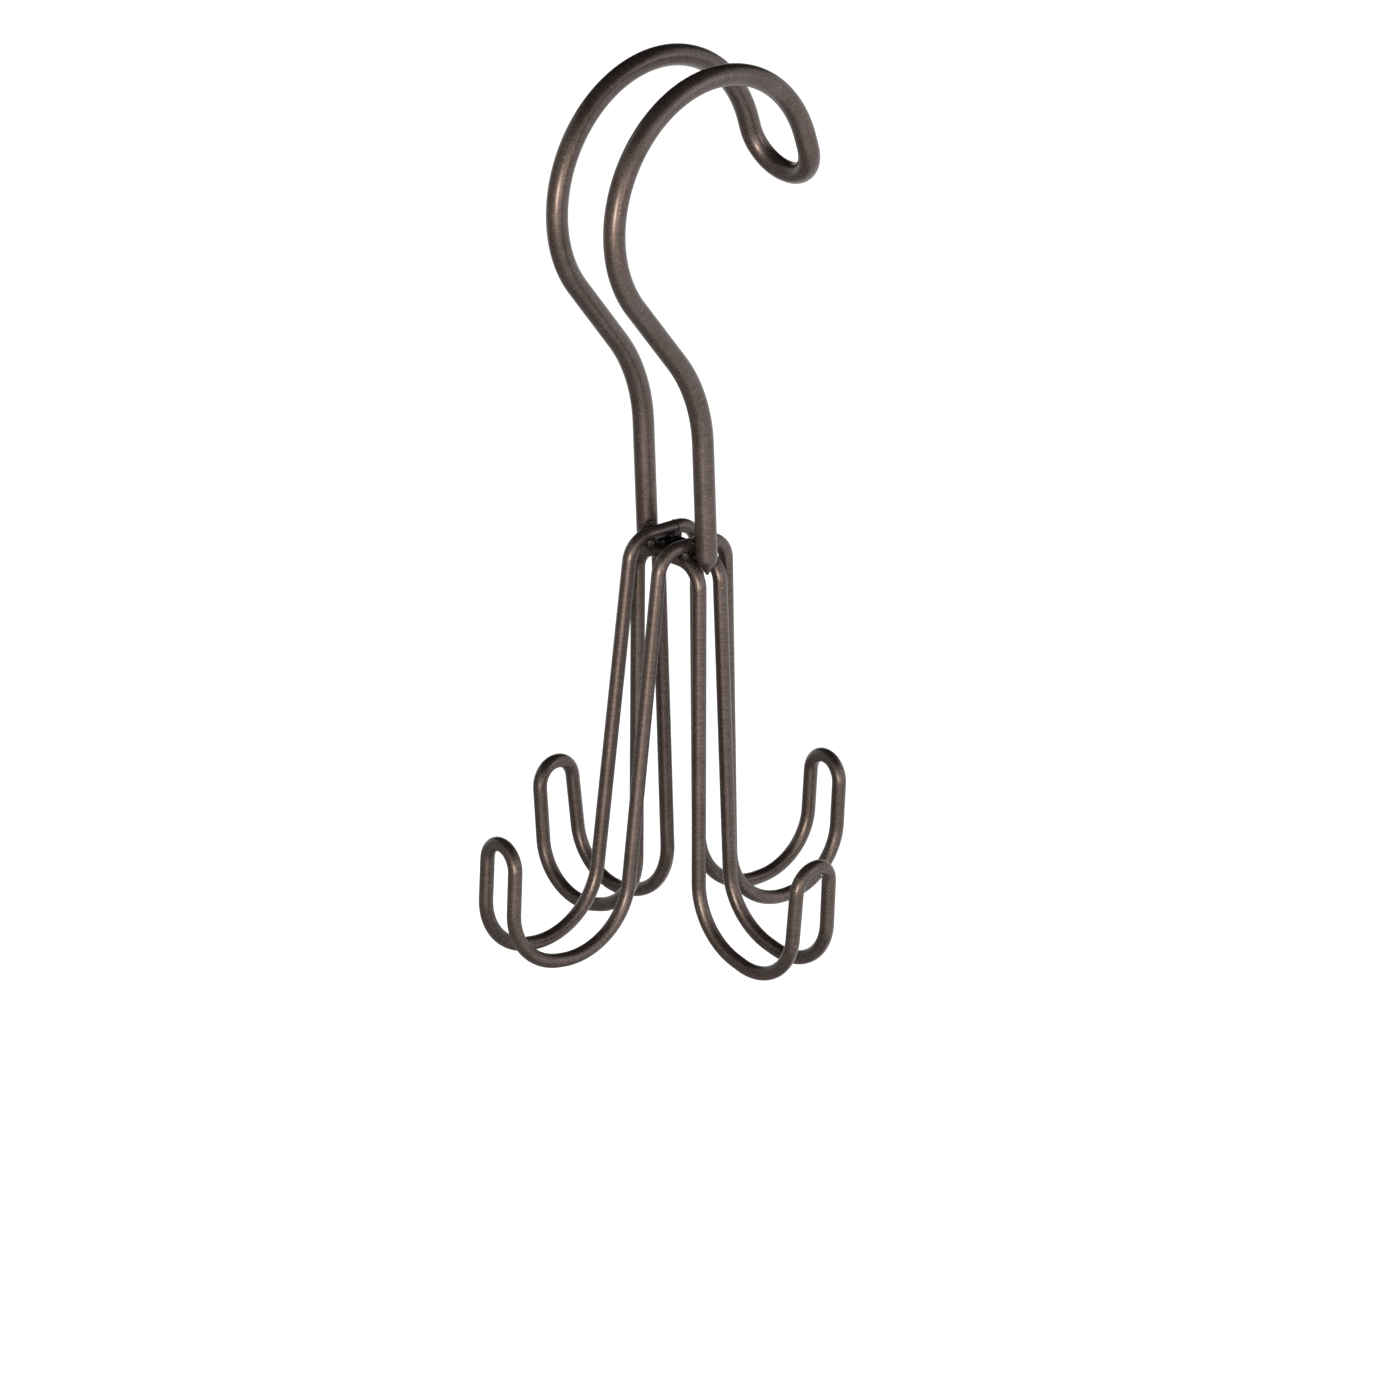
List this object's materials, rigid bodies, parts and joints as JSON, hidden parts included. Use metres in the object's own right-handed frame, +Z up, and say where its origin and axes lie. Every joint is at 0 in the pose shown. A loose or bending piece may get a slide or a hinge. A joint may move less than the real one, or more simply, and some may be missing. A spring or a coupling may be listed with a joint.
{
  "type": "tie hanger",
  "caption": "Bent steel wire hanger: a doubled rod hook over a crown of crossed, welded wire rings whose ends turn up as long accessory hooks.",
  "frame": {"origin": "highest point inside the rod hook's arch, midway between its two runs, where the closet rod carries it", "axes": "+Z up; +Y along the closet rod; +X towards the open mouth of the rod hook"},
  "size_m": [0.1191, 0.1045, 0.2577],
  "materials": {
    "bronze_wire": "satin dark bronze lacquer on steel wire",
    "weld_metal": "weld metal under the same satin dark bronze lacquer"
  },
  "bodies": {
    "root": {"rod_hook": "bronze_wire", "upper_ring": "bronze_wire", "lower_ring": "bronze_wire", "crossing_welds": "weld_metal", "hook_welds": "weld_metal", "ring_seams": "weld_metal"}
  },
  "joints": []
}
